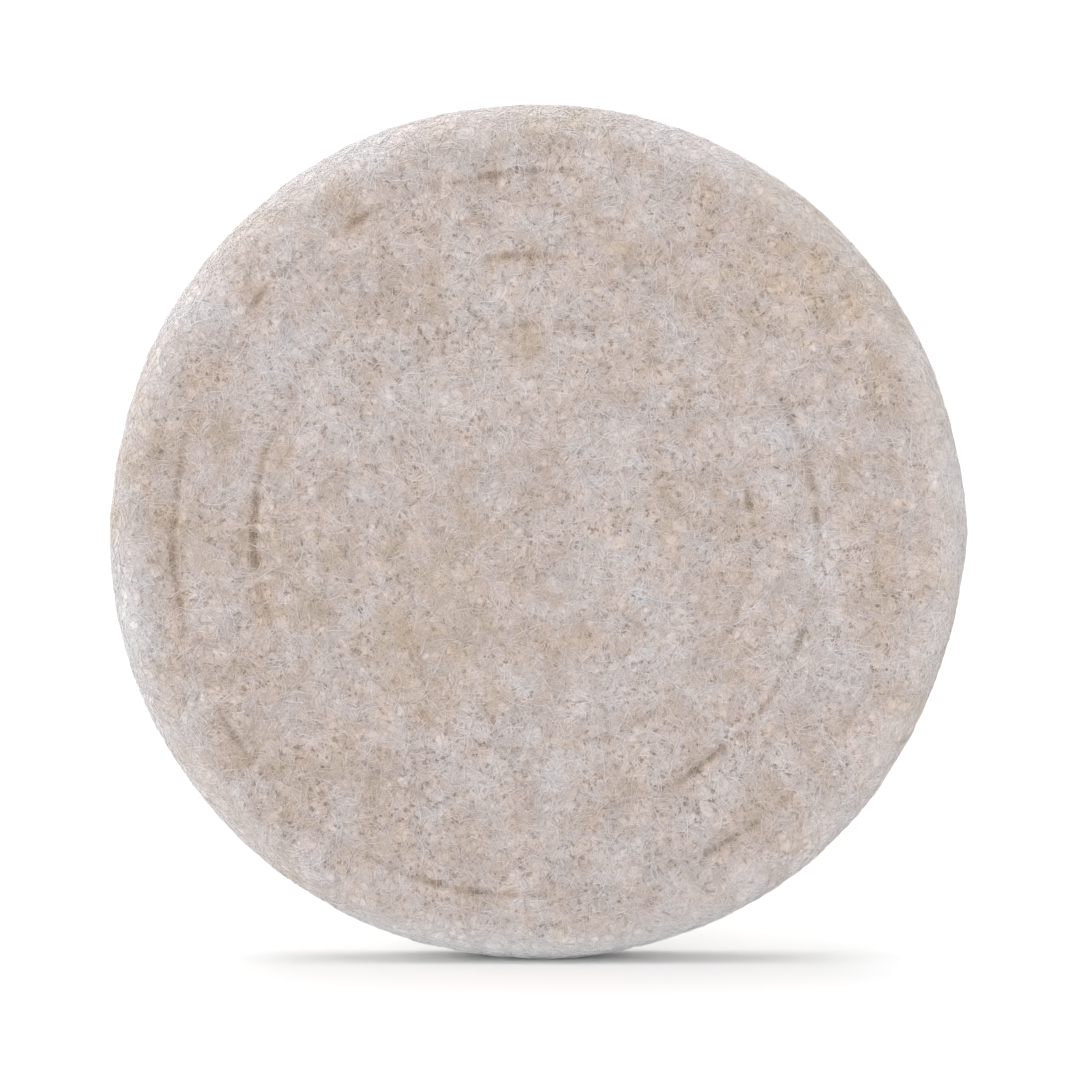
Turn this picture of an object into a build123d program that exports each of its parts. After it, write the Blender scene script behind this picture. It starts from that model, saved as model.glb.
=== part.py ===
"""Sewn felt polishing wheel: two felt plies, three rows of lockstitch, and a loop-fabric back.

The wheel turns about the Y axis. Its working face looks along -Y and its loop backing along +Y.
The origin is at the middle of the wheel, half way through its thickness. All sizes are in
millimetres.
"""

import os
from math import cos, pi, sin

from build123d import *

# Felt plies
wheel_diameter = 152.4
face_thickness = 8.0
base_thickness = 4.0
base_inset = 0.4
shoulder_radius = 6.0
felt_edge_radius = 1.0

# Rows of stitching, set in from the rim, and the creases that they pull into the felt
edge_margin = 11.8
outer_spacing = 14.4
inner_spacing = 11.9
stitch_pitch = 5.0
thread_diameter = 0.5
face_crease_width = 3.2
face_crease_depth = 1.3
back_crease_width = 2.6
back_crease_depth = 0.9

# Backing
adhesive_thickness = 0.25
ground_thickness = 0.5
pile_height = 1.3
backing_inset = 1.2
adhesive_inset = 0.6

# Clearances
seat_gap = 0.03
loop_gap = 0.04
hole_gap = 0.04
bend_gap = 0.05

# Heights on Y, from the working face to the tips of the loops
backing_thickness = ground_thickness + pile_height
wheel_thickness = face_thickness + base_thickness + adhesive_thickness + backing_thickness
face_front = -wheel_thickness / 2
face_back = face_front + face_thickness
base_back = face_back + base_thickness
adhesive_back = base_back + adhesive_thickness

# Radii across the wheel
wheel_radius = wheel_diameter / 2
base_radius = wheel_radius - base_inset
backing_radius = base_radius - backing_inset
adhesive_radius = backing_radius - adhesive_inset
outer_row = wheel_radius - edge_margin
middle_row = outer_row - outer_spacing
inner_row = middle_row - inner_spacing
row_radii = {"inner": inner_row, "middle": middle_row, "outer": outer_row}

# Lockstitch: the needle thread and the bobbin thread hook through each other between the plies
thread_radius = thread_diameter / 2
leg_offset = thread_diameter + loop_gap
loop_bend_radius = leg_offset - bend_gap
stitch_bend_radius = thread_radius + bend_gap
hole_radius = leg_offset + thread_radius + hole_gap
crease_floor = 2 * (hole_radius + hole_gap)
needle_run = face_front + face_crease_depth - seat_gap - thread_radius
needle_loop = face_back + leg_offset / 2
bobbin_run = base_back - back_crease_depth + seat_gap + thread_radius
bobbin_loop = face_back - leg_offset / 2


def stitch_count(row_radius):
    """How many stitches of about the pitch go round a row."""
    return round(2 * pi * row_radius / stitch_pitch)


def creased_side(height, depth, width):
    """The corners of one side of a ply, from the axis outwards, with a crease at each row."""
    corners = [(0, height)]
    for row_radius in row_radii.values():
        corners += [
            (row_radius - width / 2, height),
            (row_radius - crease_floor / 2, height + depth),
            (row_radius + crease_floor / 2, height + depth),
            (row_radius + width / 2, height),
        ]
    return corners


def needle_holes(height):
    """The pattern of needle holes, as a sketch at a height on Y."""
    with BuildSketch(Plane.XZ.offset(-height)) as pattern:
        for row_radius in row_radii.values():
            count = stitch_count(row_radius)
            with PolarLocations(row_radius, count, start_angle=180 / count):
                Circle(hole_radius)
    return pattern.sketch


def at_hole(row_radius, side, along, outwards, height):
    """A point beside the hole where a stitch starts (side -1) or ends (side 1)."""
    angle = side * pi / stitch_count(row_radius)
    reach = row_radius + outwards
    x = reach * cos(angle) - along * sin(angle)
    z = reach * sin(angle) + along * cos(angle)
    return (x, height, z)


def thread_row(row_radius, *route):
    """One thread sewn all the way round a row, from the route of one stitch of it."""
    with BuildPart() as stitch:
        with BuildLine() as path:
            corners = [at_hole(row_radius, *place) for place in route]
            bends = [loop_bend_radius, stitch_bend_radius, stitch_bend_radius, loop_bend_radius]
            FilletPolyline(*corners, radius=bends)
        with BuildSketch(Plane(origin=path.line @ 0, z_dir=path.line % 0)):
            Circle(thread_radius)
        sweep(path=path.line)
    count = stitch_count(row_radius)
    with BuildPart() as row:
        add([stitch.part.rotate(Axis.Y, 360 * step / count) for step in range(count)])
    return row


# The napped ply that does the polishing
with BuildPart() as face_felt:
    with BuildSketch(Plane.XY):
        with BuildLine():
            side = creased_side(face_front, face_crease_depth, face_crease_width)
            rim = [(wheel_radius, face_front), (wheel_radius, face_back)]
            Polyline(*side, *rim, (0, face_back), close=True)
        make_face()
        front_corner, back_corner = vertices().group_by(Axis.X)[-1].sort_by(Axis.Y)
        fillet(front_corner, min(shoulder_radius, face_thickness - 2 * felt_edge_radius))
        fillet(back_corner, felt_edge_radius)
    revolve(axis=Axis.Y)
    extrude(needle_holes(face_front), amount=-face_thickness, mode=Mode.SUBTRACT)
face_felt.part.label = "face_felt"
export_list = [face_felt]

# The dense ply behind it
with BuildPart() as base_felt:
    with BuildSketch(Plane.XY):
        with BuildLine():
            side = creased_side(base_back, -back_crease_depth, back_crease_width)
            rim = [(base_radius, base_back), (base_radius, face_back)]
            Polyline(*side, *rim, (0, face_back), close=True)
        make_face()
        fillet(vertices().group_by(Axis.X)[-1], felt_edge_radius)
    revolve(axis=Axis.Y)
    extrude(needle_holes(face_back), amount=-base_thickness, mode=Mode.SUBTRACT)
base_felt.part.label = "base_felt"
export_list.append(base_felt)

# The glue film and the loop fabric that it holds
with BuildPart() as adhesive_film:
    with BuildSketch(Plane.XZ.offset(-base_back)):
        Circle(adhesive_radius)
    extrude(amount=-adhesive_thickness)
adhesive_film.part.label = "adhesive_film"
export_list.append(adhesive_film)

with BuildPart() as loop_backing:
    with BuildSketch(Plane.XZ.offset(-adhesive_back)):
        Circle(backing_radius)
    extrude(amount=-backing_thickness)
    fillet(edges().filter_by(GeomType.CIRCLE).sort_by(Axis.Y)[-1], pile_height / 2)
loop_backing.part.label = "loop_backing"
export_list.append(loop_backing)

# The threads: down a hole, round the other thread, back up, and across to the next hole
for row_name, row_radius in row_radii.items():
    needle_thread = thread_row(
        row_radius,
        (-1, 0, 0, needle_loop),
        (-1, leg_offset, 0, needle_loop),
        (-1, leg_offset, 0, needle_run),
        (1, -leg_offset, 0, needle_run),
        (1, -leg_offset, 0, needle_loop),
        (1, 0, 0, needle_loop),
    )
    needle_thread.part.label = f"needle_thread_{row_name}"
    bobbin_thread = thread_row(
        row_radius,
        (-1, 0, 0, bobbin_loop),
        (-1, 0, leg_offset, bobbin_loop),
        (-1, 0, leg_offset, bobbin_run),
        (1, 0, -leg_offset, bobbin_run),
        (1, 0, -leg_offset, bobbin_loop),
        (1, 0, 0, bobbin_loop),
    )
    bobbin_thread.part.label = f"bobbin_thread_{row_name}"
    export_list += [needle_thread, bobbin_thread]

os.makedirs("parts", exist_ok=True)
for piece in export_list:
    export_step(piece.part, f"parts/{piece.part.label}.step")
    print(piece.part.label, len(piece.part.solids()), "solids", round(piece.part.volume, 1), "mm3")
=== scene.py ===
import math
import random

import bmesh
import bpy
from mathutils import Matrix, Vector, noise


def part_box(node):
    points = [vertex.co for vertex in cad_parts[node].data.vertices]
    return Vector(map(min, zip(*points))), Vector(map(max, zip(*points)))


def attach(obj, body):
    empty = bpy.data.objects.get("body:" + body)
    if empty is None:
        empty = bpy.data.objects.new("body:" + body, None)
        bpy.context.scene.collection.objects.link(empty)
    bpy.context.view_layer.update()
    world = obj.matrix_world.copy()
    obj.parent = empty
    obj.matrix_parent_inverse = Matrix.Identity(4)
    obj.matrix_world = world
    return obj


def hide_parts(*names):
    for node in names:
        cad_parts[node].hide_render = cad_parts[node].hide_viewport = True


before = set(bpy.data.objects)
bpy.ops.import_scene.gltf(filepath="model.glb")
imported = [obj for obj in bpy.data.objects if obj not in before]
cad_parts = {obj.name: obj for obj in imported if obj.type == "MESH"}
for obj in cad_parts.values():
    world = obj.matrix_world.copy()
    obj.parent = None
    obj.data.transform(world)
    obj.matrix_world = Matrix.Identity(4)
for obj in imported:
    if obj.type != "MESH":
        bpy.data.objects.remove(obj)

mm = 0.001
scene = bpy.context.scene
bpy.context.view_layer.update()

# where the plies lie, read from the frame
faceLow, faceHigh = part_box("face_felt")
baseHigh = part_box("base_felt")[1]
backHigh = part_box("loop_backing")[1]
faceRadius, faceFront, faceBack = faceHigh.z, faceLow.y, faceHigh.y
baseRadius, baseBack = baseHigh.z, baseHigh.y
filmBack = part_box("adhesive_film")[1].y
backRadius, backTips = backHigh.z, backHigh.y
floorHeight = faceLow.z
print("frame loaded, wheel radius", round(faceRadius / mm, 2), "mm")


class Wire:
    # an output socket that can be used in Python arithmetic
    def __init__(self, finish, socket):
        self.finish, self.socket = finish, socket

    def math(self, operation, *values):
        return self.finish.math(operation, *values)

    def __add__(self, other):
        return self.math("ADD", self, other)

    def __sub__(self, other):
        return self.math("SUBTRACT", self, other)

    def __rsub__(self, other):
        return self.math("SUBTRACT", other, self)

    def __mul__(self, other):
        return self.math("MULTIPLY", self, other)

    def __truediv__(self, other):
        return self.math("DIVIDE", self, other)

    __radd__ = __add__
    __rmul__ = __mul__

    def clamped(self):
        return self.math("MINIMUM", self.math("MAXIMUM", self, 0.0), 1.0)


class Finish:
    # a Principled material, with the constants on its own sockets
    def __init__(self, name, **constants):
        self.material = bpy.data.materials.new(name)
        self.material.use_nodes = True
        self.tree = self.material.node_tree
        self.shader = self.tree.nodes["Principled BSDF"]
        for socket, value in constants.items():
            self.shader.inputs[socket.replace("_", " ")].default_value = value

    def plug(self, socket, value):
        if isinstance(value, Wire):
            self.tree.links.new(value.socket, socket)
        else:
            socket.default_value = value

    def node(self, kind, settings, *values, out=0, **named):
        made = self.tree.nodes.new("ShaderNode" + kind)
        for key, value in settings.items():
            if key == "stops":
                ramp = made.color_ramp.elements
                while len(ramp) < len(value):
                    ramp.new(0.5)
                for stop, (place, colour) in zip(ramp, value):
                    stop.position, stop.color = place, colour
            else:
                setattr(made, key, value)
        for socket, value in zip(made.inputs, values):
            self.plug(socket, value)
        for socket, value in named.items():
            self.plug(made.inputs[socket], value)
        return Wire(self, made.outputs[out])

    def math(self, operation, *values):
        return self.node("Math", {"operation": operation}, *values)

    def place(self):
        return self.node("TexCoord", {}, out="Object")

    def part(self, axis):
        # one coordinate of the place, X, Y or Z
        return self.node("SeparateXYZ", {}, self.place(), out=axis)

    def attribute(self, name):
        return self.node("Attribute", {"attribute_name": name}, out="Fac")

    def noise(self, scale, detail=3.0, roughness=0.55, distortion=0.0, where=None):
        return self.node(
            "TexNoise", {}, Vector=where or self.place(),
            Scale=scale, Detail=detail, Roughness=roughness, Distortion=distortion,
        )

    def ramp(self, value, stops):
        return self.node("ValToRGB", {"stops": stops}, value)

    def mix(self, share, first, second, blend="MIX"):
        # a colour mix keeps its factor and its two colours in sockets 0, 6 and 7, and its result in 2
        made = self.node("Mix", {"data_type": "RGBA", "blend_type": blend}, out=2)
        inputs = made.socket.node.inputs
        for index, value in ((0, share), (6, first), (7, second)):
            self.plug(inputs[index], value)
        return made

    def paint(self, **sockets):
        for socket, value in sockets.items():
            self.plug(self.shader.inputs[socket.replace("_", " ")], value)
        return self.material

    def bump(self, height, distance, strength=1.0):
        return self.node("Bump", {}, Height=height, Distance=distance, Strength=strength)


def tint(red, green, blue, share=1.0):
    # a display colour, 0 to 255, as the linear colour that a shader takes
    def linear(level):
        level = level / 255
        return level / 12.92 if level <= 0.04045 else ((level + 0.055) / 1.055) ** 2.4
    return (linear(red) * share, linear(green) * share, linear(blue) * share, 1.0)


felt = {
    "shoulder": 6.0 * mm,       # radius of the rounded edge of the working face
    "lump": 0.30 * mm,          # broad unevenness of the nap
    "lumpScale": 150.0,
    "pill": 0.16 * mm,          # small tufts
    "pillScale": 620.0,
    "sideCalm": 0.6,            # how much of both is gone at the foot of the side
    "slitDepth": 0.95 * mm,     # narrow crease where the thread pulls down
    "slitWidth": 0.65 * mm,
    "tuckDepth": 0.55 * mm,     # broad hollow beside it
    "tuckWidth": 2.4 * mm,
    "edgeRound": 1.0 * mm,
    "slitShade": 0.6,          # painted shade: how much darker a tight crease is painted than the open nap
    # painted shade on the open nap, and a tan tint of painted shade in the broad hollow beside a crease
    "openShade": 0.22,
    "tuckShadeWarmth": 0.16,
}

# each row of sewing: its radius, and the arcs where it is pulled tight,
# as (middle and half width in degrees from +X, share of the full depth)
sewing = {
    "outer": {"seed": 3.1, "arcs": [(184, 20, 1.0), (136, 5, 1.0), (122, 7, 1.0), (100, 12, 0.8),
                                    (262, 17, 0.75), (306, 12, 0.7), (330, 8, 0.4), (215, 9, 0.5)]},
    "middle": {"seed": 7.4, "arcs": [(177, 20, 0.9), (138, 9, 0.5), (92, 14, 0.6), (24, 6, 0.8),
                                     (3, 13, 1.0), (338, 5, 0.9), (312, 16, 1.0), (236, 10, 0.35)]},
    "inner": {"seed": 9.8, "arcs": [(84, 14, 0.7), (52, 12, 0.55), (296, 15, 0.5), (256, 12, 0.45),
                                    (12, 10, 0.6), (178, 10, 0.3)]},
}
threadRadius = 0.25 * mm
slackPull = 0.16            # how far a row dips where it isn't pulled tight
wanderBy = 1.1 * mm
creaseReach = 7 * mm        # past this from a row, its crease no longer counts
angleSteps = 1440
skin = 0.001 * mm           # corners this near to a height count as being at it


def bell(offset, width):
    return math.exp(-((offset / width) ** 2))


def turned(angle, middle):
    # the signed angle in degrees from middle to angle
    return (angle - middle + 180) % 360 - 180


for name, row in sewing.items():
    row["radius"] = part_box("needle_thread_" + name)[1].z - threadRadius
    row["path"], row["pull"] = [], []
    for step in range(angleSteps):
        degrees = 360 * step / angleSteps
        angle = math.radians(degrees)
        around = Vector((math.cos(angle), math.sin(angle), row["seed"]))
        drift = noise.noise(around * 1.3) + 0.45 * noise.noise(around * 5.0)
        row["path"].append(row["radius"] + wanderBy * drift)
        tight = max(
            share * bell(turned(degrees, middle), half * 0.85) for middle, half, share in row["arcs"]
        )
        uneven = 0.72 + 0.9 * noise.noise(around * 16.0) + 0.5 * noise.noise(around * 37.0)
        row["pull"].append(max(slackPull, tight) * max(uneven, 0.1))

# how far the wheel's outline stands out or in: (degrees from +X, half width, rise)
rimMarks = [(0, 6, 0.5 * mm), (-22, 12, -0.35 * mm), (166, 14, -0.35 * mm), (-55, 14, 0.3 * mm),
            (120, 16, 0.3 * mm)]


def rimRise(angle):
    degrees = math.degrees(angle)
    rise = sum(height * bell(turned(degrees, middle), half) for middle, half, height in rimMarks)
    around = Vector((math.cos(angle), math.sin(angle), 5.5))
    return rise + 0.22 * mm * noise.noise(around * 4.0)


def smoothStep(value, start, end):
    share = min(max((value - start) / (end - start), 0.0), 1.0)
    return share * share * (3 - 2 * share)


def creaseAt(radius, angle):
    # how far the sewing pulls the nap down there, and how much of that is the narrow slit
    step = int(angle / math.tau * angleSteps) % angleSteps
    tuck = slit = 0.0
    for row in sewing.values():
        offset = radius - row["path"][step]
        if abs(offset) < creaseReach:
            pull = row["pull"][step]
            tuck += pull * felt["tuckDepth"] * bell(offset, felt["tuckWidth"])
            slit += pull * felt["slitDepth"] * bell(offset, felt["slitWidth"])
    return tuck, slit


flatRadius = faceRadius - felt["shoulder"]
shoulderRun = felt["shoulder"] * math.pi / 2
sideRun = faceBack - faceFront - felt["shoulder"] - felt["edgeRound"]
faceReach = flatRadius + shoulderRun + sideRun


def faceSpot(across):
    # the plain face's outline, `across` along its surface from the centre:
    # radius, y, and how far the normal there points outwards and along Y
    if across <= flatRadius:
        return across, faceFront, 0.0, -1.0
    turn = min((across - flatRadius) / felt["shoulder"], math.pi / 2)
    radius = flatRadius + felt["shoulder"] * math.sin(turn)
    height = faceFront + felt["shoulder"] * (1 - math.cos(turn))
    return radius, height + max(across - flatRadius - shoulderRun, 0.0), math.sin(turn), -math.cos(turn)


def onFace(across, angle, rise=0.0, follow=1.0):
    # a point of the uneven face, rise above the nap; follow is the share of a slit that it goes down
    radius, height, outwards, upwards = faceSpot(across)
    x, z = math.cos(angle), math.sin(angle)
    spot = Vector((x * radius, height, z * radius))
    tuck, slit = creaseAt(across, angle)
    fade = 1 - felt["sideCalm"] * smoothStep(across, flatRadius, faceReach)
    lump = felt["lump"] * noise.noise(spot * felt["lumpScale"])
    pill = felt["pill"] * noise.noise(spot * felt["pillScale"])
    stand = rise + fade * (lump + pill) - tuck - follow * slit
    wide = rimRise(angle) * smoothStep(across, 0.8 * flatRadius, flatRadius + 0.6 * shoulderRun)
    normal = Vector((x * outwards, upwards, z * outwards))
    return spot + normal * stand + Vector((x, 0, z)) * wide


def warmthAt(x, z):
    # 0 where the wool is grey white, 1 where it is tan
    spot = Vector((x, z, 0.0313))
    broad = 0.20 * noise.noise(spot * 30) + 0.25 * noise.noise(spot * 85)
    return 0.48 + broad + 0.26 * noise.noise(spot * 190) + 0.26 * noise.noise(spot * 420)


def linked(piece, body="root"):
    if piece.name not in scene.collection.objects:
        scene.collection.objects.link(piece)
    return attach(piece, body)


def finished(name, bm, *materials):
    # a closed mesh from a bmesh, smooth and facing outwards
    bmesh.ops.remove_doubles(bm, verts=bm.verts, dist=0.002 * mm)
    bmesh.ops.recalc_face_normals(bm, faces=bm.faces)
    mesh = bpy.data.meshes.new(name)
    bm.to_mesh(mesh)
    bm.free()
    mesh.shade_smooth()
    for material in materials:
        mesh.materials.append(material)
    return linked(bpy.data.objects.new(name, mesh))


def spun(profile, steps):
    # a body of revolution about Y from (radius, y) corners
    bm = bmesh.new()
    corners = [bm.verts.new((radius, height, 0)) for radius, height in profile]
    edges = [bm.edges.new(pair) for pair in zip(corners, corners[1:])]
    bmesh.ops.spin(
        bm, geom=corners + edges, cent=(0, 0, 0), axis=(0, 1, 0), angle=math.tau,
        steps=steps, use_merge=True,
    )
    bmesh.ops.remove_doubles(bm, verts=bm.verts, dist=0.002 * mm)
    return bm


# shared by all the wool: its colours, and its patterns, whose scales are repeats per metre
wool = {
    "grey": tint(224, 226, 231),
    "rose": tint(219, 209, 207),
    "tan": tint(206, 188, 167),
    # painted shade: the tone that wool lying deep, in a crease or low in the nap, is darkened towards
    "shadeTone": tint(184, 156, 128),
    # painted shade in the pits between fibres
    "pitShadeColour": tint(147, 127, 111),
    "pitScale": 1050.0,
    "pitEdges": (0.31, 0.45),   # where the noise of the painted pit shade turns dark, and where it ends
    "thinScale": 75.0,          # patches with less painted pit shade
    "speckScale": 1900.0,
    "speck": 0.08,
    "fuzzScale": 3800.0,
    "fuzzDepth": 0.06 * mm,
    "clumpScale": 120.0,
    "webWidth": 0.045,
    # the pale rim: partly paler wool on the shoulder, partly a painted highlight where the rim turns to
    # the light
    "edge": tint(236, 236, 237),
    "rimPaleAndHighlightShare": 0.45,
    "belowFillGain": 1.2,           # painted fill light: how much more the rim is painted pale underneath, where little light reaches
    "clumps": 0.28,             # how unevenly light and dark wool was carded
    "strandScales": (330.0, 540.0, 900.0),
}


def strandWeb(finish, width):
    # thin curly lines, 1 on a strand: the contour lines of three noises
    web = 0.0
    for scale in wool["strandScales"]:
        away = finish.math("ABSOLUTE", finish.noise(scale, 2.0, 0.5, 1.2) - 0.5)
        web = (1.0 - away * (1 / width)).clamped() + web
    return web.clamped()


def woolFinish(name, shadeLevel, pitShadeShare, webShare=0.0):
    # the shade level is painted shade, darker for wool lower in the nap; the pit share is how dark the
    # painted shade in the pits is, webShare how bright the drawn strands are
    finish = Finish(name, Roughness=0.95, Sheen_Weight=0.06, Sheen_Roughness=0.6, Specular_IOR_Level=0.1)
    colour = finish.ramp(
        finish.attribute("warmth").clamped(),
        [(0.0, wool["grey"]), (0.5, wool["rose"]), (1.0, wool["tan"])],
    )
    # painted shade: darker where the wool lies deep, in a crease or low in the nap
    colour = finish.mix(finish.attribute("depth").clamped(), colour, wool["shadeTone"])
    # painted shade in the pits between fibres, less of it in some patches
    dark, clear = wool["pitEdges"]
    pitShade = finish.ramp(
        finish.noise(wool["pitScale"], 1.5, 0.6), [(dark, (1, 1, 1, 1)), (clear, (0, 0, 0, 1))],
    )
    thinned = finish.ramp(
        finish.noise(wool["thinScale"], 2.0), [(0.36, (0.6, 0.6, 0.6, 1)), (0.6, (1, 1, 1, 1))],
    )
    colour = finish.mix(pitShade * thinned * pitShadeShare, colour, wool["pitShadeColour"])
    # the clumps and specks are the wool's own tone; the shade level added to them is painted shade by
    # depth in the nap
    clumps = finish.noise(wool["clumpScale"], 3.0, 0.65) - 0.5
    specks = finish.noise(wool["speckScale"], 2.0) - 0.5
    level = specks * wool["speck"] + clumps * wool["clumps"] + shadeLevel
    height = finish.noise(wool["fuzzScale"], 2.0)
    if webShare:
        web = strandWeb(finish, wool["webWidth"])
        level = level + web * webShare
        height = height * 0.4 + web
    toneAndShade = finish.node("CombineColor", {}, level, level, level)
    colour = finish.mix(1.0, colour, toneAndShade, "MULTIPLY")
    flat = finish.node("VectorMath", {"operation": "MULTIPLY"}, finish.place(), (1.0, 0.0, 1.0))
    radius = finish.node("VectorMath", {"operation": "LENGTH"}, flat, out="Value")
    # the rim painted paler: partly paler wool, partly a painted highlight, and more underneath as painted
    # fill light
    edge = ((radius / faceRadius - 0.9) / 0.1).clamped()
    below = ((finish.part("Z") / -faceRadius - 0.86) / 0.1).clamped()
    colour = finish.mix(edge * (below * wool["belowFillGain"] + 1.0) * wool["rimPaleAndHighlightShare"], colour, wool["edge"])
    return finish.paint(Base_Color=colour, Normal=finish.bump(height, wool["fuzzDepth"], 0.5))


def addTones(mesh, tones):
    pairs = [tones(vert.co) for vert in mesh.vertices]
    for index, name in enumerate(("warmth", "depth")):
        layer = mesh.attributes.new(name, "FLOAT", "POINT")
        layer.data.foreach_set("value", [pair[index] for pair in pairs])


def feltTones(co):
    # warmth, with a tan tint of painted shade in the broad hollows, and painted shade from a little on the
    # open nap to most down in a tight crease
    tuck, slit = creaseAt(math.hypot(co.x, co.z), math.atan2(co.z, co.x) % math.tau)
    warmth = warmthAt(co.x, co.z) + felt["tuckShadeWarmth"] * tuck / felt["tuckDepth"]
    return warmth, felt["openShade"] + felt["slitShade"] * slit / felt["slitDepth"]


def outwardAt(angle):
    return Vector((math.cos(angle), 0, math.sin(angle)))


def makeFaceFelt():
    settings = {"rings": 165, "steps": 440, "backRings": 3}
    edge = felt["edgeRound"]
    profile = []
    for ring in range(settings["rings"] + 1):
        profile.append(faceSpot(faceReach * ring / settings["rings"])[:2])
    for turn in (30, 60, 90):
        angle = math.radians(turn)
        profile.append(
            (faceRadius - edge * (1 - math.cos(angle)), faceBack - edge * (1 - math.sin(angle)))
        )
    for ring in range(settings["backRings"], -1, -1):
        profile.append(((faceRadius - edge) * ring / (settings["backRings"] + 1), faceBack))
    bm = spun(profile, settings["steps"])
    sideTop = faceFront + felt["shoulder"]
    for vert in bm.verts:
        angle = math.atan2(vert.co.z, vert.co.x) % math.tau
        radius = math.hypot(vert.co.x, vert.co.z)
        if vert.co.y < faceFront + skin:
            vert.co = onFace(radius, angle)
        elif vert.co.y < sideTop - skin:
            turn = math.acos(min(max(1 - (vert.co.y - faceFront) / felt["shoulder"], 0.0), 1.0))
            vert.co = onFace(flatRadius + felt["shoulder"] * turn, angle)
        elif vert.co.y < sideTop + sideRun + skin:
            vert.co = onFace(flatRadius + shoulderRun + vert.co.y - sideTop, angle)
        else:
            share = smoothStep(radius, faceRadius - 8 * edge, faceRadius - edge)
            vert.co += outwardAt(angle) * rimRise(angle) * share
    # the ground under the nap is painted darkest, as painted shade, with the most painted pit shade
    piece = finished("faceFelt", bm, woolFinish("napGround", 0.85, 0.9, 0.12))
    addTones(piece.data, feltTones)
    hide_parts("face_felt")


def edgeRadius(height):
    # the outline of the two plies' side near their seam, each with rounded edges
    outer = faceRadius if height < faceBack else baseRadius
    inside = min(abs(height - faceBack), baseBack - height)
    drop = max(felt["edgeRound"] - max(inside, 0.0), 0.0)
    return outer - felt["edgeRound"] + math.sqrt(felt["edgeRound"] ** 2 - drop ** 2)


def makeBaseFelt():
    settings = {
        "steps": 300, "creaseRings": 64, "dent": 0.8 * mm, "dentWidth": 0.9 * mm,
        "grain": 0.10 * mm, "grainScale": 420.0, "webWidth": 0.04, "webShare": 0.35,
        "colour": tint(203, 194, 184), "dark": tint(170, 158, 146), "pale": tint(222, 217, 210),
    }
    edge = felt["edgeRound"]
    inner = baseRadius - edge
    profile = [(0, faceBack), (inner * 0.5, faceBack), (inner, faceBack)]
    for turn in (30, 60, 90):
        angle = math.radians(turn)
        profile.append((inner + edge * math.sin(angle), faceBack + edge * (1 - math.cos(angle))))
    for step in range(1, 5):
        profile.append((baseRadius, faceBack + edge + (baseBack - faceBack - 2 * edge) * step / 4))
    for turn in (60, 30, 0):
        angle = math.radians(turn)
        profile.append((inner + edge * math.sin(angle), baseBack - edge * (1 - math.cos(angle))))
    for ring in range(settings["creaseRings"] - 1, -1, -1):
        profile.append((inner * ring / settings["creaseRings"], baseBack))
    bm = spun(profile, settings["steps"])
    for vert in bm.verts:
        angle = math.atan2(vert.co.z, vert.co.x) % math.tau
        radius = math.hypot(vert.co.x, vert.co.z)
        if vert.co.y > baseBack - skin:
            step = int(angle / math.tau * angleSteps) % angleSteps
            for row in sewing.values():
                vert.co.y -= settings["dent"] * bell(radius - row["path"][step], settings["dentWidth"])
        share = smoothStep(radius, baseRadius - 8 * edge, baseRadius - edge)
        rough = settings["grain"] * noise.noise(vert.co * 900)
        vert.co += outwardAt(angle) * share * (rimRise(angle) + rough)
    finish = Finish("denseFelt", Roughness=0.96, Sheen_Weight=0.04, Specular_IOR_Level=0.1)
    layered = finish.node("VectorMath", {"operation": "MULTIPLY"}, finish.place(), (1.0, 5.0, 1.0))
    grain = finish.noise(settings["grainScale"], 4.0, 0.65, where=layered)
    colour = finish.ramp(
        grain, [(0.3, settings["dark"]), (0.5, settings["colour"]), (0.72, settings["pale"])],
    )
    web = strandWeb(finish, settings["webWidth"])
    colour = finish.mix(web * settings["webShare"], colour, settings["pale"])
    finish.paint(Base_Color=colour, Normal=finish.bump(web + grain, 0.12 * mm, 0.6))
    piece = finished("baseFelt", bm, finish.material)
    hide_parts("base_felt")


def sectionCurve(name, corners):
    # the closed outline that a fibre or a thread is drawn along
    curve = bpy.data.curves.new(name, "CURVE")
    spline = curve.splines.new("POLY")
    spline.points.add(len(corners) - 1)
    for point, (across, up) in zip(spline.points, corners):
        point.co = (across, up, 0, 1)
    spline.use_cyclic_u = True
    piece = bpy.data.objects.new(name, curve)
    scene.collection.objects.link(piece)
    return piece


def roundSection(name, radius, sides, lobes=0.0):
    # lobes above 0 pinch the outline into two plies
    corners = []
    for corner in range(sides):
        angle = math.tau * (corner + 0.5) / sides
        reach = radius * (1 - lobes * math.sin(angle) ** 2)
        corners.append((reach * math.cos(angle), reach * math.sin(angle)))
    return sectionCurve(name, corners)


def curveMesh(name, curve, material, tones=None):
    # the bevelled curve as a closed mesh that faces outwards
    holder = bpy.data.objects.new(name, curve)
    scene.collection.objects.link(holder)
    bpy.context.view_layer.update()
    mesh = bpy.data.meshes.new_from_object(holder.evaluated_get(bpy.context.evaluated_depsgraph_get()))
    bpy.data.objects.remove(holder)
    for tone, values in (tones or {}).items():
        layer = mesh.attributes.new(tone, "FLOAT", "POINT")
        layer.data.foreach_set("value", values)
    bm = bmesh.new()
    bm.from_mesh(mesh)
    bmesh.ops.remove_doubles(bm, verts=bm.verts, dist=0.0005 * mm)
    bmesh.ops.recalc_face_normals(bm, faces=bm.faces)
    bm.to_mesh(mesh)
    bm.free()
    mesh.name = name
    mesh.shade_smooth()
    mesh.materials.clear()
    mesh.materials.append(material)
    return mesh


def bevelledCurve(name, section):
    curve = bpy.data.curves.new(name, "CURVE")
    curve.dimensions = "3D"
    curve.bevel_mode = "OBJECT"
    curve.bevel_object = section
    curve.use_fill_caps = True
    return curve


fibreSides = 3              # a fibre is a three-sided tube, so that thousands stay light
fibreRadius = 0.11 * mm


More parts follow.
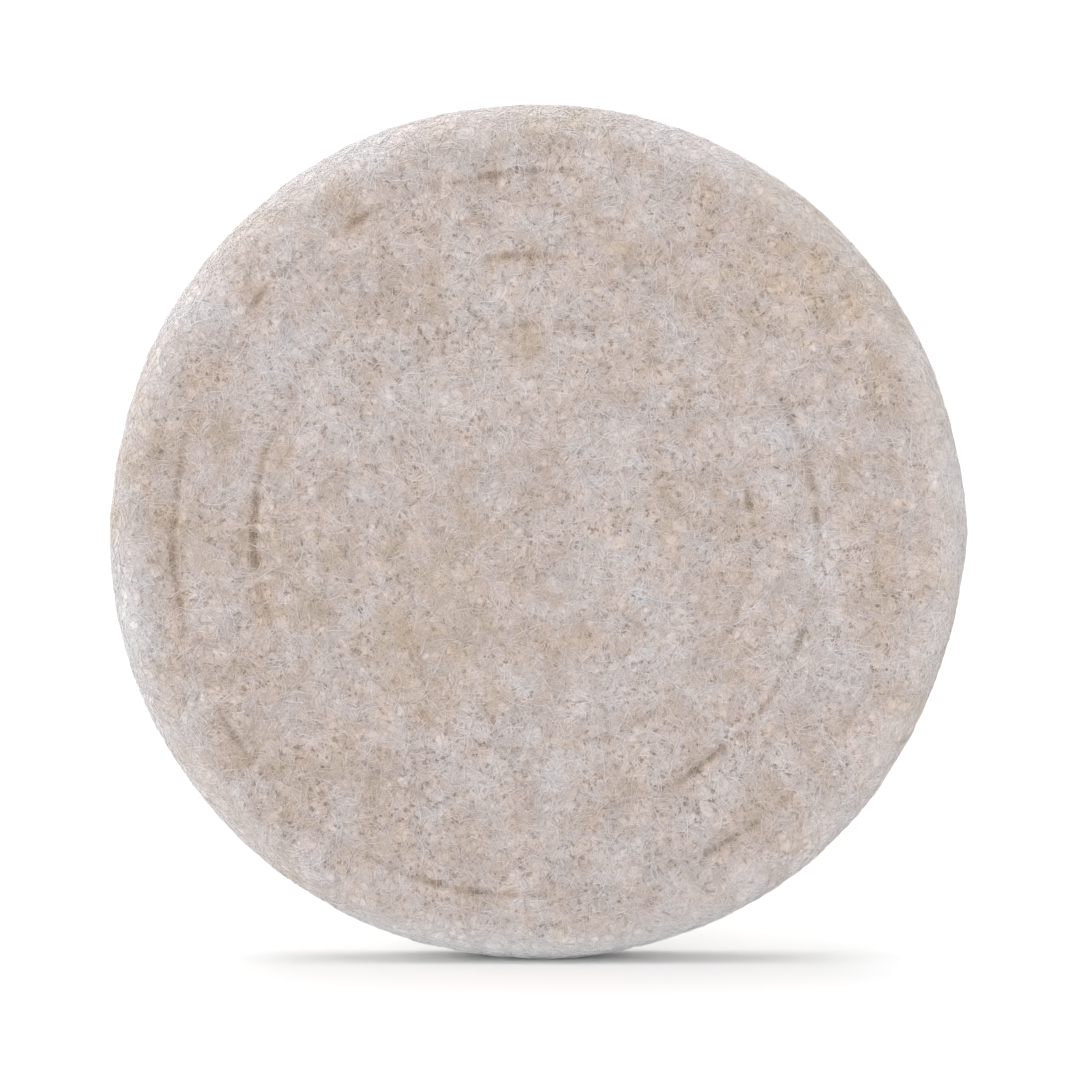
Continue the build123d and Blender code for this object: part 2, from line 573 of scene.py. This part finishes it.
def fibrePiece(name, paths, section, material):
    # paths is a list of (points, thickness, warmth, painted shade)
    curve = bevelledCurve(name, section)
    for points, thickness, _, _ in paths:
        spline = curve.splines.new("POLY")
        spline.points.add(len(points) - 1)
        flat = []
        for point in points:
            flat += [point.x, point.y, point.z, 1.0]
        spline.points.foreach_set("co", flat)
        tip = thickness * 0.45
        spline.points.foreach_set("radius", [tip] + [thickness] * (len(points) - 2) + [tip])
    # a bevelled curve gives the end caps first, last fibre to first, then the rings
    tones = {}
    for index, tone in ((2, "warmth"), (3, "depth")):
        caps = [path[index] for path in reversed(paths) for _ in range(2 * fibreSides)]
        tones[tone] = caps + [path[index] for path in paths for _ in range(fibreSides * len(path[0]))]
    mesh = curveMesh(name, curve, material, tones)
    piece = linked(bpy.data.objects.new(name, mesh))
    print(name, len(paths), "fibres", sum(len(p.vertices) - 2 for p in mesh.polygons), "triangles")
    return piece


def napPaths(settings, seed):
    # fibres that lie on the face in loose curves, and tuck in at both ends
    chance = random.Random(seed)
    paths = []
    reach = faceReach - 0.4 * mm
    while len(paths) < settings["count"]:
        across = reach * math.sqrt(chance.random())
        angle = chance.uniform(0, math.tau)
        _, slit = creaseAt(across, angle)
        if chance.random() < settings["clearOfSlits"] * slit / felt["slitDepth"]:
            continue
        length = chance.uniform(*settings["length"])
        bend = chance.choice((-1, 1)) / chance.uniform(*settings["bendRadius"])
        heading = chance.uniform(0, math.tau)
        lift = chance.uniform(*settings["lift"])
        arch = chance.uniform(*settings["arch"])
        pieces = settings["pieces"]
        u, w = across * math.cos(angle), across * math.sin(angle)
        points = []
        for step in range(pieces + 1):
            where = min(math.hypot(u, w), reach)
            rise = lift + arch * math.sin(math.pi * step / pieces)
            points.append(onFace(where, math.atan2(w, u) % math.tau, rise, settings["follow"]))
            heading += bend * length / pieces + chance.gauss(0, settings["stray"])
            u += math.cos(heading) * length / pieces
            w += math.sin(heading) * length / pieces
        tone, feltShade = feltTones(points[pieces // 2])
        warmth = tone + chance.gauss(0, 0.04)
        # painted shade: more for lower layers and for fibres lying in a crease
        depth = settings["depth"] + chance.gauss(0, 0.06) + 0.8 * (feltShade - felt["openShade"])
        paths.append((points, chance.uniform(*settings["thickness"]), warmth, depth))
    return paths


def makeNap():
    # from the ground up, the fibres get thinner, painted lighter with less painted shade in their pits,
    # and fewer lie down in the creases
    shared = {"count": 7000, "pieces": 4, "follow": 1.0, "stray": 0.22, "clearOfSlits": 0.6}
    layers = [
        {**shared, "name": "woolUndercoat", "stray": 0.25, "clearOfSlits": 0.1,
         "length": (3 * mm, 6 * mm), "bendRadius": (3 * mm, 12 * mm), "lift": (-0.14 * mm, 0.0 * mm),
         "arch": (0.0 * mm, 0.12 * mm), "thickness": (0.6, 1.1),
         "depth": 0.32, "shadeLevel": 0.94, "pitShade": 0.8},
        {**shared, "name": "woolUndercoatPale", "stray": 0.25, "clearOfSlits": 0.3,
         "length": (3 * mm, 7 * mm), "bendRadius": (2.5 * mm, 10 * mm), "lift": (-0.10 * mm, 0.05 * mm),
         "arch": (0.02 * mm, 0.18 * mm), "thickness": (0.5, 1.0),
         "depth": 0.20, "shadeLevel": 0.97, "pitShade": 0.7},
        {**shared, "name": "woolNapLower", "clearOfSlits": 0.5,
         "length": (3.5 * mm, 8 * mm), "bendRadius": (2.5 * mm, 9 * mm), "lift": (-0.06 * mm, 0.08 * mm),
         "arch": (0.05 * mm, 0.20 * mm), "thickness": (0.45, 0.85),
         "depth": 0.12, "shadeLevel": 1.0, "pitShade": 0.5},
        {**shared, "name": "woolNapUpper", "follow": 0.95,
         "length": (3.5 * mm, 8 * mm), "bendRadius": (2.4 * mm, 8 * mm), "lift": (-0.02 * mm, 0.10 * mm),
         "arch": (0.06 * mm, 0.22 * mm), "thickness": (0.35, 0.65),
         "depth": 0.04, "shadeLevel": 1.04, "pitShade": 0.3},
        {**shared, "name": "woolNapFine", "follow": 0.9,
         "length": (3.5 * mm, 7 * mm), "bendRadius": (2.4 * mm, 8 * mm), "lift": (0.0 * mm, 0.12 * mm),
         "arch": (0.08 * mm, 0.24 * mm), "thickness": (0.3, 0.55),
         "depth": 0.0, "shadeLevel": 1.09, "pitShade": 0.15},
        {**shared, "name": "woolNapTop", "count": 5200, "pieces": 6, "follow": 0.8, "stray": 0.18,
         "length": (5 * mm, 10 * mm), "bendRadius": (2.4 * mm, 7 * mm), "lift": (0.0 * mm, 0.14 * mm),
         "arch": (0.1 * mm, 0.28 * mm), "thickness": (0.25, 0.5),
         "depth": -0.05, "shadeLevel": 1.10, "pitShade": 0.0},
    ]
    section = roundSection("fibreSection", fibreRadius, fibreSides)
    for index, settings in enumerate(layers):
        finish = woolFinish(settings["name"] + "Wool", settings["shadeLevel"], settings["pitShade"])
        fibrePiece(settings["name"], napPaths(settings, 40 + index), section, finish)
    bpy.data.objects.remove(section)


def makeSideFuzz():
    # short wool round the plies' side, where they were cut
    settings = {
        "count": 3600, "length": (1.6 * mm, 4.5 * mm), "lift": (-0.02 * mm, 0.12 * mm),
        "arch": (0.03 * mm, 0.22 * mm), "thickness": (0.4, 0.8), "stray": 0.4, "pieces": 4,
        "ontoFace": 1.6 * mm, "clearOfBack": 0.15 * mm,
    }
    chance = random.Random(71)
    low, high = faceBack - settings["ontoFace"], baseBack - settings["clearOfBack"]
    paths = []
    for _ in range(settings["count"]):
        height, angle = chance.uniform(low, high), chance.uniform(0, math.tau)
        heading = chance.choice((0, math.pi)) + chance.gauss(0, 0.7)
        length = chance.uniform(*settings["length"])
        lift, arch = chance.uniform(*settings["lift"]), chance.uniform(*settings["arch"])
        run = length / settings["pieces"]
        points = []
        for step in range(settings["pieces"] + 1):
            height = min(max(height, low), high)
            rise = lift + arch * math.sin(math.pi * step / settings["pieces"])
            spot = outwardAt(angle) * (edgeRadius(height) + rimRise(angle) + rise)
            points.append(spot + Vector((0, height, 0)))
            heading += chance.gauss(0, settings["stray"])
            angle += run * math.cos(heading) / baseRadius
            height += run * math.sin(heading)
        tone = warmthAt(points[2].x, points[2].z) + chance.gauss(0, 0.08)
        # each fibre gets a random amount of painted shade
        paths.append((points, chance.uniform(*settings["thickness"]), tone, chance.uniform(0.0, 0.4)))
    section = roundSection("fuzzSection", fibreRadius, fibreSides)
    fibrePiece("woolSideFuzz", paths, section, woolFinish("woolSideFuzzWool", 1.0, 0.3))
    bpy.data.objects.remove(section)


stitch = {
    "pitch": 5.0 * mm,
    "legOffset": 0.54 * mm,     # from the middle of a needle hole to each leg of thread
    "faceDepth": 1.02 * mm,     # thread's middle below the working face
    "backDepth": 0.62 * mm,     # and below the back of the dense ply
    "nestle": 0.06 * mm,        # how far it stands out of a crease that is deeper
    "turnsPerStitch": 3.0,
    "twistAt": (0.0, 0.0, 0.05, 0.3, 0.5, 0.7, 0.95),   # share of it at each point of a stitch
}


def stitchRow(row, side):
    # the points of one thread, and its twist at each:
    # across each stitch, down its hole, and round the other thread
    count = round(math.tau * row["radius"] / stitch["pitch"])
    leg = stitch["legOffset"]
    sign = 1 if side == "needle" else -1
    loop = faceBack + sign * leg / 2
    points = []

    def lay(angle, out, height):
        step = int(angle / math.tau * angleSteps) % angleSteps
        points.append(outwardAt(angle) * (row["path"][step] + out) + Vector((0, height, 0)))

    for hole in range(count):
        angle = math.tau * (hole - 0.5) / count
        spread = leg / row["radius"]
        along, out = (spread, 0.0) if side == "needle" else (0.0, leg)
        lay(angle - along, -out, loop)
        lay(angle + along, out, loop)
        for share in (0.0, 0.3, 0.5, 0.7, 1.0):
            place = angle + along + (math.tau / count - 2 * along) * share
            if side == "needle":
                step = int(place / math.tau * angleSteps) % angleSteps
                tuck, slit = creaseAt(row["path"][step], place % math.tau)
                run = faceFront + max(stitch["faceDepth"], tuck + slit - stitch["nestle"])
            else:
                run = baseBack - stitch["backDepth"]
            lay(place, out * (1 - 2 * share), run)
    twist = math.tau * stitch["turnsPerStitch"]
    turns = [twist * (hole + share) for hole in range(count) for share in stitch["twistAt"]]
    return points, turns


def makeThreads():
    threads = {
        "needle": {"sides": 8, "lobes": 0.34, "resolution": 5, "colour": tint(196, 178, 158),
                   "grooveShade": tint(150, 130, 112)},
        "bobbin": {"sides": 6, "lobes": 0.0, "resolution": 3, "colour": tint(206, 196, 182),
                   "grooveShade": tint(164, 150, 134)},
    }
    for side, settings in threads.items():
        finish = Finish(side + "Cotton", Roughness=0.78, Sheen_Weight=0.1, Specular_IOR_Level=0.25)
        strands = finish.noise(2400.0, 3.0, 0.6)
        # painted shade in the grooves, where the strands' bump is low
        colour = finish.ramp(strands, [(0.35, settings["grooveShade"]), (0.62, settings["colour"])])
        finish.paint(Base_Color=colour, Normal=finish.bump(strands, 0.05 * mm, 0.6))
        section = roundSection(side + "Section", threadRadius, settings["sides"], settings["lobes"])
        for name, row in sewing.items():
            curve = bevelledCurve(side + name, section)
            curve.resolution_u = settings["resolution"]
            points, turns = stitchRow(row, side)
            spline = curve.splines.new("NURBS")
            spline.points.add(len(points) - 1)
            for knot, point, turn in zip(spline.points, points, turns):
                knot.co = (*point, 1.0)
                knot.tilt = turn
            spline.order_u = 3
            spline.use_endpoint_u = True
            mesh = curveMesh(side + "Thread" + name.capitalize(), curve, finish.material)
            piece = linked(bpy.data.objects.new(mesh.name, mesh))
            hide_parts(side + "_thread_" + name)
            print(piece.name, sum(len(p.vertices) - 2 for p in mesh.polygons), "triangles")
        bpy.data.objects.remove(section)


def makeFilm():
    # the glue is the CAD's own solid with a finish of its own
    finish = Finish("filmOfGlue", Roughness=0.35, Specular_IOR_Level=0.5, Coat_Weight=0.2)
    streaks = finish.noise(130.0, 4.0, 0.6, 0.8)
    colour = finish.ramp(streaks, [(0.3, tint(205, 188, 150)), (0.7, tint(226, 214, 184))])
    finish.paint(Base_Color=colour, Normal=finish.bump(streaks, 0.05 * mm, 0.4))
    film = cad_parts["adhesive_film"]
    for holder in film.material_slots:
        holder.material = finish.material


backing = {
    "ground": 0.5 * mm,         # thickness of the knit under the loops
    "edge": 0.15 * mm,          # the chamfer round it
    "rings": 26,
    "steps": 240,
    "waviness": 0.05 * mm,
    "knitPitch": 0.9 * mm,
    "groundShade": 0.86,        # the knit lies in the shade of its pile
    "yarn": tint(240, 237, 230),
    "gap": tint(190, 181, 168),
    "loops": 6600,              # in each of the two piles
    "margin": 1.0 * mm,         # bare ground left round the edge
    "loopSpan": (1.0 * mm, 2.7 * mm),
    "loopRadius": 0.17 * mm,
    "sideways": 0.34 * mm,
    "loopThickness": (0.65, 1.15),
    "loopShape": ((0.0, -0.12), (0.18, 0.7), (0.6, 1.0), (1.0, 0.62), (0.82, -0.12)),
    "lean": 0.7,                # radians: the way the pile was brushed
    "leanSpread": 0.9,
}


def backingFinish(name, shadeLevel, knitted):
    finish = Finish(name, Roughness=0.8, Sheen_Weight=0.2, Sheen_Roughness=0.5, Specular_IOR_Level=0.3)
    grain = finish.noise(900.0, 3.0)
    cover = grain
    if knitted:
        across, up = finish.part("X"), finish.part("Z")
        wave = math.tau / backing["knitPitch"]
        courses = finish.math("SINE", up * wave + finish.math("SINE", across * wave) * 0.9)
        wales = finish.math("COSINE", across * (wave * 0.5))
        cover = (courses * 0.3 + wales * wales * 0.5 + 0.2 + grain * 0.3).clamped()
    colour = finish.ramp(cover, [(0.25, backing["gap"]), (0.65, backing["yarn"])])
    # the level paints the whole colour darker as painted shade, or lighter as painted light
    colour = finish.mix(1.0, colour, tint(255, 255, 255, shadeLevel), "MULTIPLY")
    return finish.paint(Base_Color=colour, Normal=finish.bump(cover, 0.15 * mm, 0.8))


def loopPaths(seed):
    chance = random.Random(seed)
    base = filmBack + backing["ground"]
    paths = []
    for _ in range(backing["loops"]):
        side = outwardAt(chance.uniform(0, math.tau))
        foot = side * (backRadius - backing["margin"]) * math.sqrt(chance.random())
        heading = backing["lean"] + chance.gauss(0, backing["leanSpread"])
        along = outwardAt(heading) * chance.uniform(*backing["loopSpan"])
        aside = outwardAt(heading + math.pi / 2) * chance.gauss(0, backing["sideways"])
        top = (backTips - base - backing["loopRadius"]) * chance.uniform(0.45, 1.0)
        points = []
        for step, (share, rise) in enumerate(backing["loopShape"]):
            spot = foot + along * share + aside * (step - 1) + Vector((0, base + top * rise, 0))
            points.append(spot)
        paths.append((points, chance.uniform(*backing["loopThickness"]), 0.5, 0.0))
    return paths


def makeBacking():
    edge = backing["edge"]
    outer = backRadius
    profile = [(0, filmBack), (outer - edge, filmBack), (outer, filmBack + edge)]
    profile += [(outer, filmBack + backing["ground"] - edge), (outer - edge, filmBack + backing["ground"])]
    for ring in range(backing["rings"] - 1, -1, -1):
        profile.append(((outer - edge) * ring / backing["rings"], filmBack + backing["ground"]))
    bm = spun(profile, backing["steps"])
    for vert in bm.verts:
        if vert.co.y > filmBack + backing["ground"] - skin:
            vert.co.y += backing["waviness"] * noise.noise(vert.co * 260)
    ground = finished("loopGround", bm, backingFinish("loopGroundKnit", backing["groundShade"], True))
    section = roundSection("loopSection", backing["loopRadius"], fibreSides)
    # the pile is painted a little lighter than its yarn, as painted light
    finish = backingFinish("loopPileYarn", 1.06, False)
    for part in (1, 2):
        fibrePiece(f"loopPile{part}", loopPaths(90 + part), section, finish)
    bpy.data.objects.remove(section)
    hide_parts("loop_backing")


def makeStage():
    settings = {"drop": 0.3 * mm, "albedo": (0.89, 0.905), "ambient": 0.67, "paperWhite": 1.05}
    bm = bmesh.new()
    bmesh.ops.create_grid(bm, x_segments=4, y_segments=4, size=12.0)
    bmesh.ops.translate(bm, verts=bm.verts, vec=(0, 0, floorHeight - settings["drop"]))
    mesh = bpy.data.meshes.new("floor")
    bm.to_mesh(mesh)
    bm.free()
    floor = bpy.data.objects.new("floor", mesh)
    scene.collection.objects.link(floor)
    paper = Finish("floorPaper", Roughness=0.9, Specular_IOR_Level=0.1)
    dim, bright = ((share, share, share, 1) for share in settings["albedo"])
    cloudy = paper.ramp(paper.noise(6.0, 2.0), [(0.3, dim), (0.7, bright)])
    mesh.materials.append(paper.paint(Base_Color=cloudy))

    world = bpy.data.worlds.new("studio")
    scene.world = world
    world.use_nodes = True
    nodes, links = world.node_tree.nodes, world.node_tree.links
    ambient = nodes["Background"]
    ambient.inputs["Color"].default_value = (1.0, 1.0, 1.0, 1.0)
    ambient.inputs["Strength"].default_value = settings["ambient"]
    paperWhite = nodes.new("ShaderNodeBackground")
    paperWhite.inputs["Color"].default_value = (1.0, 1.0, 1.0, 1.0)
    paperWhite.inputs["Strength"].default_value = settings["paperWhite"]
    seen = nodes.new("ShaderNodeMixShader")
    links.new(nodes.new("ShaderNodeLightPath").outputs["Is Camera Ray"], seen.inputs[0])
    links.new(ambient.outputs[0], seen.inputs[1])
    links.new(paperWhite.outputs[0], seen.inputs[2])
    links.new(seen.outputs[0], nodes["World Output"].inputs["Surface"])

    lights = [
        {"name": "overheadSoft", "from": (-0.15, 0.1, 1.6), "spread": 55, "strength": 1.8},
        {"name": "frontSoft", "from": (-0.35, -1.5, 0.1), "spread": 50, "strength": 1.55},
        {"name": "leftSoft", "from": (-1.5, -0.15, 0.6), "spread": 50, "strength": 0.8},
    ]
    for light in lights:
        lamp = bpy.data.lights.new(light["name"], "SUN")
        lamp.energy, lamp.angle = light["strength"], math.radians(light["spread"])
        holder = bpy.data.objects.new(light["name"], lamp)
        holder.rotation_euler = (-Vector(light["from"])).to_track_quat("-Z", "Y").to_euler()
        scene.collection.objects.link(holder)


def makeCamera():
    view = {
        "lens": 100.0, "sensor": 36.0,
        "fills": 0.798,             # share of the view's width that the wheel takes up
        "rise": 4.0,                # degrees that the camera looks down
        "aimX": 0.57 * mm, "aimZ": -0.41 * mm,
    }
    lens = bpy.data.cameras.new("camera")
    lens.lens, lens.sensor_width = view["lens"], view["sensor"]
    lens.clip_start, lens.clip_end = 0.01, 50
    camera = bpy.data.objects.new("camera", lens)
    distance = 2 * faceRadius / view["fills"] * view["lens"] / view["sensor"]
    rise = math.radians(view["rise"])
    aim = Vector((view["aimX"], faceFront, view["aimZ"]))
    camera.location = aim + Vector((0, -math.cos(rise), math.sin(rise))) * distance
    camera.rotation_euler = (aim - camera.location).to_track_quat("-Z", "Y").to_euler()
    scene.collection.objects.link(camera)
    scene.camera = camera
    scene.view_settings.view_transform = "Standard"
    scene.view_settings.look = "None"


makeCamera()
makeStage()
print("stage and camera ready")
makeFaceFelt()
print("face felt made")
makeNap()
print("nap made")
makeBaseFelt()
makeSideFuzz()
print("base felt and side fuzz made")
makeThreads()
print("threads made")
makeFilm()
makeBacking()
print("film and backing made")
